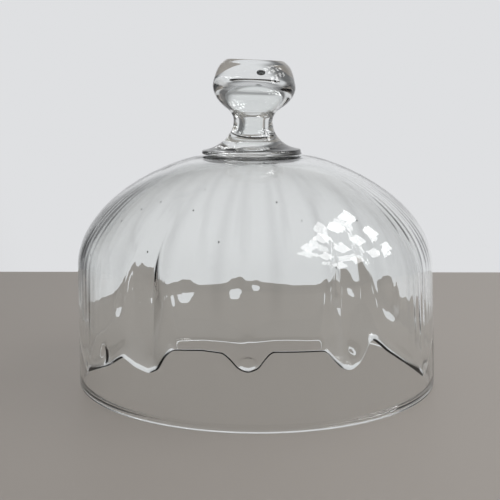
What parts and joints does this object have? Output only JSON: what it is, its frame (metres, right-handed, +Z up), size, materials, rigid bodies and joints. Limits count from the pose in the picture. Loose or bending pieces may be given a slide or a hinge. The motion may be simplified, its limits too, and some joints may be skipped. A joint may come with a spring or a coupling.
{
  "type": "glass cloche",
  "caption": "Clear blown-glass dome cover, ribbed inside, open at its ground rim, with a hollow ball knob on a spread foot fused to the crown.",
  "frame": {"origin": "centre of the dome's outline on the plane that the rim stands on", "axes": "+Z up along the dome's axis; -Y is the front; the knob sits 2 to 4 mm off the axis towards -X"},
  "size_m": [0.25, 0.25, 0.2213],
  "materials": {
    "dome_glass": "fire-polished clear soda-lime glass with a faint grey-green cast",
    "knob_glass": "thick clear soda-lime glass, fire-polished, ground flat on top"
  },
  "bodies": {
    "root": {"dome_bell": "dome_glass", "crown_wafer": "knob_glass", "knob_foot": "knob_glass", "knob_stem": "knob_glass", "knob_bulb": "knob_glass"}
  },
  "joints": []
}
